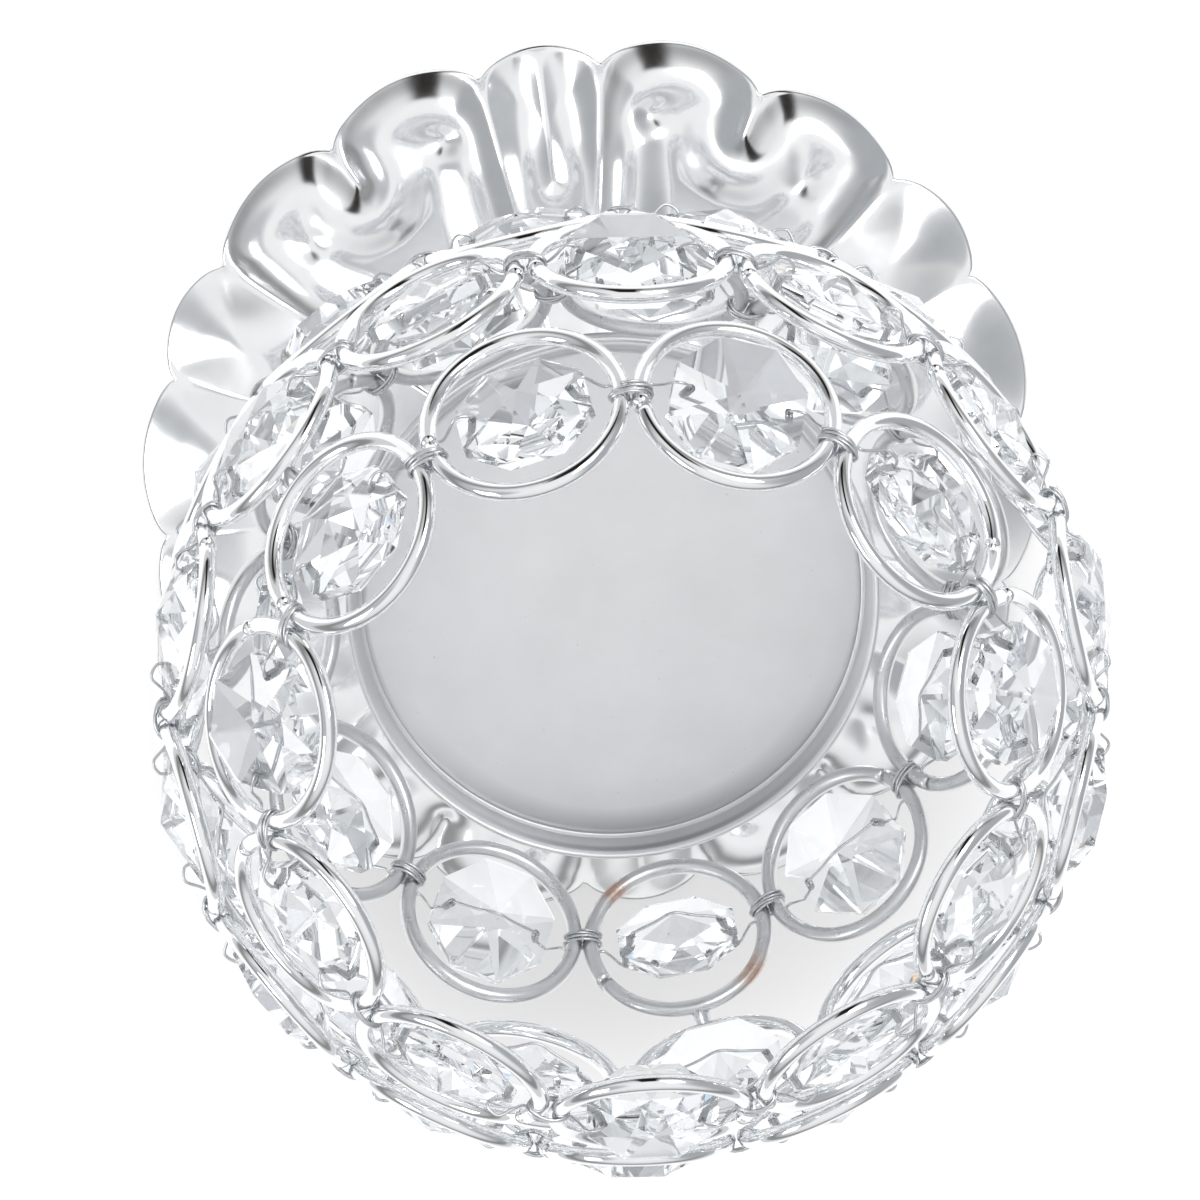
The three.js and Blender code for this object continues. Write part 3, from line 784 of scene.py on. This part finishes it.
tray = dict(
    radius=58.0,
    sheet=0.8,
    floor=([0, 13.0], [12, 13.0], [20, 7.4], [34, 3.4], [46, 3.4], [60, 3.4]),  # radius, height
    floorSteps=12,
    floorRise=1.4,  # ridge widths over which the floor comes up from the edge
    spans=(8.2, 22.1, 21.5, 16.6, 21.6),  # degrees: half the fan, two scroll lobes, two shell lobes
    notches=(4.3, 4.0, 3.4, 2.8, 2.8),  # depth in the edge at the end of each lobe
    grooveEnds=(40.0, 26.0, 49.0, 28.0, 31.0, 31.0),  # radius where each groove dies out, fan's first
    fanRecess=1.1,
    roundness=0.6,
    ridge=9.2,
    ridgeHeight=1.9,
    ridgeSkew=0.8,  # moves the crest towards the edge
    ridgePower=1.4,  # narrows it
    petalRise=9.0,
    petalHeight=1.5,
    fanHeight=2.6,
    petalLength=24.0,
    soft=1.5,  # how far the relief rounds off where two slopes meet
    reliefFrom=20.0,  # radius where the relief begins, and where it is full
    reliefFull=34.0,
    eyes=((15.6, 48.6, 1.3), (41.5, 47.8, 0.6)),  # angle, radius and depth of each scroll's eye
    eyeWidth=2.0,
    spokes=600,
    hubShare=0.3,  # share of the way out that has few rings
    hubRings=12,
    rings=105,
    underStep=4,  # the underside has one ring for so many above
    edgeSamples=571,
    edgeOverlap=12,  # degrees of edge tried past each end of a quarter
)


def toQuarter(angle):  # degrees folded into the first quarter, which the tray repeats in mirror image
    half = np.mod(angle, 180.0)
    return np.where(half > 90, 180 - half, half)


def trayEdge(angle):
    # reach of the scalloped edge: each lobe is an arch between two notches, and the fan is one arch
    quarter = toQuarter(angle)
    ends = np.concatenate([[0], np.cumsum(tray["spans"])])
    lobe = np.clip(np.searchsorted(ends, quarter, side="right") - 1, 0, len(tray["spans"]) - 1)
    along = np.clip((quarter - ends[lobe]) / np.asarray(tray["spans"])[lobe], 0, 1)
    notches = np.asarray(tray["notches"])
    depth = notches[np.maximum(lobe - 1, 0)] * (1 - along) + notches[lobe] * along
    recess = np.where(lobe == 0, tray["fanRecess"], 0)
    arch = np.sin(np.pi * np.where(lobe == 0, (1 + along) / 2, along)) ** tray["roundness"]
    return tray["radius"] - recess - (depth - recess) * (1 - arch), lobe


def trayHeight(angle, radius):
    # floor from hub to edge, plus a round ridge along the scroll lobes and the grooves beside them,
    # and domes on the petals. Both follow a soft minimum of the distances to the edge and the
    # grooves, -k log(sum of exp(-d / k)), so that slopes meet in a round; an eye is a small dent
    curve = rounded(tray["floor"], tray["floorSteps"])
    floor = np.minimum(np.interp(radius, curve[:, 0], curve[:, 1]), tray["floor"][0][1])
    quarter = np.radians(toQuarter(angle))
    x, y = radius * np.cos(quarter), radius * np.sin(quarter)
    edgeAngle = np.linspace(-tray["edgeOverlap"], 90 + tray["edgeOverlap"], tray["edgeSamples"])
    edgeReach, _ = trayEdge(np.abs(edgeAngle))
    edgeAngle = np.radians(edgeAngle)
    distance = np.full(radius.shape, np.inf)
    for edgeX, edgeY in zip(edgeReach * np.cos(edgeAngle), edgeReach * np.sin(edgeAngle)):
        distance = np.minimum(distance, (x - edgeX) ** 2 + (y - edgeY) ** 2)
    reach, lobe = trayEdge(angle)
    inside = np.where(radius < reach, np.sqrt(distance), 0)
    near = np.exp(-inside / tray["soft"])
    ends = np.radians(np.concatenate([[0], np.cumsum(tray["spans"])]))
    for turn, inner in zip(ends, tray["grooveEnds"]):
        short = np.maximum(inner - x * np.cos(turn) - y * np.sin(turn), 0)
        near = near + np.exp(-np.hypot(y * np.cos(turn) - x * np.sin(turn), short) / tray["soft"])
    nearest = np.maximum(-tray["soft"] * np.log(near), 0)
    across = np.clip(nearest / tray["ridge"], 0, 1)
    ridge = tray["ridgeHeight"] * np.sin(np.pi * across ** tray["ridgeSkew"]) ** tray["ridgePower"]
    petal = np.where(lobe == 0, tray["fanHeight"], tray["petalHeight"])
    petal = petal * (1 - (1 - np.clip(nearest / tray["petalRise"], 0, 1)) ** 2)
    petal = petal * (1 - smoothStep(tray["petalLength"] / 2, tray["petalLength"], inside))
    relief = np.where((lobe == 1) | (lobe == 2), ridge, petal)
    relief = relief * smoothStep(tray["reliefFrom"], tray["reliefFull"], radius)
    for turn, out, depth in tray["eyes"]:
        away = np.hypot(x - out * np.cos(np.radians(turn)), y - out * np.sin(np.radians(turn)))
        relief = relief - depth * np.exp(-((away / tray["eyeWidth"]) ** 2))
    rise = smoothStep(0, tray["floorRise"] * tray["ridge"], inside)
    return tray["sheet"] + (floor - tray["sheet"]) * rise + relief


def addTray():
    # polar grid over the tray, with a coarser underside one sheet below
    angle = np.linspace(0, 360, tray["spokes"], endpoint=False)[:, None]
    edge, _ = trayEdge(angle)
    hub = np.linspace(0, tray["hubShare"], tray["hubRings"], endpoint=False)
    share = np.concatenate([hub, np.linspace(tray["hubShare"], 1, tray["rings"])])
    inner = stem["bore"]
    radius = inner + (edge - inner) * share[None]
    top = trayHeight(np.broadcast_to(angle, radius.shape), radius)
    turn = np.radians(angle - 90)
    upper = circlePoints(turn, radius, top)
    under = circlePoints(turn, radius, np.maximum(top - tray["sheet"], 0))
    points = np.concatenate([upper, under[:, :: -tray["underStep"]]], 1)[:, ::-1]
    faces = gridFaces(*points.shape[:2], closeRows=True, closeCols=True).tolist()
    made = addPiece("baseTray", points, faces, [trayChrome], root)
    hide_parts("base_tray")


addTray()
print("tray stamped")


paper = dict(
    width=1600.0,
    drop=0.1,  # keeps it clear of the tray's edge
    plain="#F2F2F2",
    seen="#DADADA",  # under its own glow
    glow=0.44,
    shade="#9A9A9B",
    shadeAt=(0.0, 30.0, 0.0),
    shadeReach=(75.0, 35.0),  # distance where the globe's shade begins, and where it is full
)


def addFloor():
    # a square of white paper. Camera, metal and glass see it with a glow of its own, which keeps it
    # white, and with the globe's soft shade behind the stem
    x, y = paper["width"] / 2 * np.array([[-1, 1, 1, -1], [-1, -1, 1, 1]])
    corners = np.stack([x, y, 0 * x - paper["drop"]], -1)
    mesh = bpy.data.meshes.new("floor")
    mesh.from_pydata((corners * mm).tolist(), [], [[0, 1, 2, 3]])
    made = bpy.data.objects.new("floor", mesh)
    bpy.context.scene.collection.objects.link(made)
    finish = bpy.data.materials.new("white paper floor")
    finish.use_nodes = True
    tree = finish.node_tree
    tree.nodes.clear()
    ray = addNode(tree, "ShaderNodeLightPath").outputs
    seen = ray["Is Camera Ray"]
    for kind in ("Is Glossy Ray", "Is Transmission Ray"):
        seen = addNode(tree, "ShaderNodeMath", {0: seen, 1: ray[kind]}, operation="ADD").outputs[0]
    plain = addNode(tree, "ShaderNodeBsdfDiffuse", {"Color": hexColour(paper["plain"])}).outputs[0]
    place = addNode(tree, "ShaderNodeTexCoord").outputs["Object"]
    spot = [v * mm for v in paper["shadeAt"]]
    begins, full = paper["shadeReach"]
    away = addNode(tree, "ShaderNodeVectorMath", {0: place, 1: spot}, operation="DISTANCE")
    shade = addNode(
        tree,
        "ShaderNodeMapRange",
        {"Value": away.outputs["Value"], "From Min": begins * mm, "From Max": full * mm},
        interpolation_type="SMOOTHSTEP",
    ).outputs["Result"]
    tone = addNode(
        tree,
        "ShaderNodeMix",
        {0: shade, 6: hexColour(paper["seen"]), 7: hexColour(paper["shade"])},
        data_type="RGBA",
    ).outputs[2]
    shaded = addNode(tree, "ShaderNodeBsdfDiffuse", {"Color": tone}).outputs[0]
    glow = addNode(
        tree, "ShaderNodeEmission", {"Color": hexColour("#FFFFFF"), "Strength": paper["glow"]}
    ).outputs[0]
    both = addNode(tree, "ShaderNodeAddShader", {0: shaded, 1: glow}).outputs[0]
    skin = addNode(tree, "ShaderNodeMixShader", {0: seen, 1: plain, 2: both}).outputs[0]
    addNode(tree, "ShaderNodeOutputMaterial", {"Surface": skin})
    mesh.materials.append(finish)


# tones: height of a direction from the horizon to straight up, and how light it is there;
# patches: direction, angle inside which it is full, angle where it ends, colour
metalSky = dict(
    tones=((0, 0.75), (0.08, 0.34), (0.22, 0.28), (0.36, 0.54), (0.55, 0.84), (0.9, 1)),
    patches=(((-1, 0, 0.35), 12, 50, "#B2B4B7"), ((1, -0.1, 0.9), 9, 30, "#C0C2C5")),
    gap="#221C19",
    gapWidth=(0.28, 0.16),  # outer and inner limits: sideways share of a direction's forward part
    gapForward=(-0.2, -0.3),
    gapTop=(0.8, 0.7),
    gapFoot=(0.02, 0.1),
)
# faint coloured patches in what glass sees, as facets split the light
glassSky = dict(
    tones=((0, 0.95), (0.1, 0.8), (0.25, 0.75), (0.4, 0.92), (0.6, 1)),
    patches=(
        ((0.5, 0.3, 0.8), 5, 11, "#BFE0FF"),
        ((-0.6, 0.4, 0.7), 5, 11, "#FFDDBB"),
        ((0.2, -0.7, 0.6), 5, 11, "#C4DFFF"),
    ),
)
plainLight = 0.76  # strength for all other rays


def skyPatch(tree, way, towards, near, far):
    # 1 inside an angle from a direction, falling to 0 at a wider one
    aim = unit(np.array(towards, float)).tolist()
    facing = addNode(tree, "ShaderNodeVectorMath", {0: way, 1: aim}, operation="DOT_PRODUCT")
    limits = {"From Min": np.cos(np.radians(far)), "From Max": np.cos(np.radians(near))}
    return addNode(
        tree,
        "ShaderNodeMapRange",
        {"Value": facing.outputs["Value"], **limits},
        interpolation_type="SMOOTHSTEP",
    ).outputs["Result"]


def darkGap(tree, way):
    # an upright gap between two screens in front: 1 where a direction points forward within a few
    # degrees to either side and isn't near straight up
    x, y, z = addNode(tree, "ShaderNodeSeparateXYZ", {0: way}).outputs
    share = addNode(tree, "ShaderNodeMath", {0: x, 1: y}, operation="DIVIDE").outputs[0]
    share = addNode(tree, "ShaderNodeMath", {0: share}, operation="ABSOLUTE").outputs[0]
    limits = dict(gapWidth=share, gapForward=y, gapTop=z, gapFoot=z)
    inside = 1.0
    for key, value in limits.items():
        outer, inner = metalSky[key]
        part = addNode(
            tree, "ShaderNodeMapRange", {"Value": value, "From Min": outer, "From Max": inner}
        ).outputs["Result"]
        inside = addNode(tree, "ShaderNodeMath", {0: part, 1: inside}, operation="MULTIPLY").outputs[0]
    return inside


def addWorld():
    # white studio all round; metal also sees grey walls low down, greyer on one side, and a dark
    # gap in front, and glass sees paler walls
    world = bpy.data.worlds.new("white studio")
    bpy.context.scene.world = world
    world.use_nodes = True
    tree = world.node_tree
    tree.nodes.clear()
    ray = addNode(tree, "ShaderNodeLightPath").outputs
    way = addNode(tree, "ShaderNodeTexCoord").outputs["Generated"]
    height = addNode(tree, "ShaderNodeSeparateXYZ", {0: way}).outputs["Z"]
    white = hexColour("#FFFFFF")
    skin = addNode(tree, "ShaderNodeBackground", {"Color": white, "Strength": plainLight}).outputs[0]
    for kind, sky in (("Is Glossy Ray", metalSky), ("Is Transmission Ray", glassSky)):
        ramp = addNode(tree, "ShaderNodeValToRGB", {"Fac": height})
        for at, _ in sky["tones"][2:]:
            ramp.color_ramp.elements.new(at)
        for element, (at, tone) in zip(ramp.color_ramp.elements, sky["tones"]):
            element.position = at
            element.color = (tone, tone, tone, 1)
        seen = ramp.outputs["Color"]
        layers = [(skyPatch(tree, way, *limits), tint) for *limits, tint in sky["patches"]]
        if "gap" in sky:
            layers.append((darkGap(tree, way), sky["gap"]))
        for share, tint in layers:
            seen = addNode(
                tree, "ShaderNodeMix", {0: share, 6: seen, 7: hexColour(tint)}, data_type="RGBA"
            ).outputs[2]
        light = addNode(tree, "ShaderNodeBackground", {"Color": seen, "Strength": 1.0}).outputs[0]
        skin = addNode(tree, "ShaderNodeMixShader", {0: ray[kind], 1: skin, 2: light}).outputs[0]
    light = addNode(tree, "ShaderNodeBackground", {"Color": white, "Strength": 1.0}).outputs[0]
    skin = addNode(tree, "ShaderNodeMixShader", {0: ray["Is Camera Ray"], 1: skin, 2: light}).outputs[0]
    addNode(tree, "ShaderNodeOutputWorld", {"Surface": skin})


studio = dict(
    elevation=75.94,  # of the camera, in degrees
    azimuth=2.08,
    roll=170.52,
    away=600.0,
    slide=(2.75, -7.16),
    focal=5349 / 1200,  # picture widths
    sensor=36.0,
    lampAim=(0.0, 0.0, 100.0),
    bounces=(32, 24, 32),  # in all, off metal and through glass
)


def addLamp(name, place, size, watts):
    # a soft box that looks at the middle of the globe
    lamp = bpy.data.lights.new(name, "AREA")
    lamp.shape = "RECTANGLE"
    lamp.size, lamp.size_y = (side * mm for side in size)
    lamp.energy = watts
    made = bpy.data.objects.new(name, lamp)
    bpy.context.scene.collection.objects.link(made)
    back = unit(np.array(place) - studio["lampAim"])
    right = unit(np.cross([0, 1, 0.01], back))
    spin = np.stack([right, np.cross(back, right), back], 1)
    place = [v * mm for v in place]
    made.matrix_world = Matrix.Translation(place) @ Matrix(spin.tolist()).to_4x4()


def addCamera():
    # looks down into the mouth, from the front and above, with the tray at the top of the picture
    e, a, r = (np.radians(studio[key]) for key in ("elevation", "azimuth", "roll"))
    right = np.array([np.cos(a), np.sin(a), 0])
    back = np.array([np.cos(e) * np.sin(a), -np.cos(e) * np.cos(a), np.sin(e)])
    up = np.cross(back, right)
    across = np.cos(r) * right + np.sin(r) * up
    above = -np.sin(r) * right + np.cos(r) * up
    middle = np.array([0, 0, lowerRow["height"] + cage["base"]])
    place = middle + studio["away"] * back - studio["slide"][0] * across - studio["slide"][1] * above
    camera = bpy.data.cameras.new("camera")
    camera.sensor_width = studio["sensor"]
    camera.lens = studio["sensor"] * studio["focal"]
    camera.clip_start, camera.clip_end = 0.01, 10  # metres
    made = bpy.data.objects.new("camera", camera)
    bpy.context.scene.collection.objects.link(made)
    spin = Matrix(np.stack([across, above, back], 1).tolist()).to_4x4()
    made.matrix_world = Matrix.Translation((place * mm).tolist()) @ spin
    bpy.context.scene.camera = made


addFloor()
addWorld()
addLamp("soft box left", place=(-450, -500, 950), size=(400, 550), watts=3.4)
addLamp("soft box right", place=(800, 200, 750), size=(350, 500), watts=2.8)
addCamera()
bpy.context.scene.view_settings.view_transform = "Standard"
# light crosses many facets before it leaves a bead
light = bpy.context.scene.cycles
light.max_bounces, light.glossy_bounces, light.transmission_bounces = studio["bounces"]

print("scene ready")
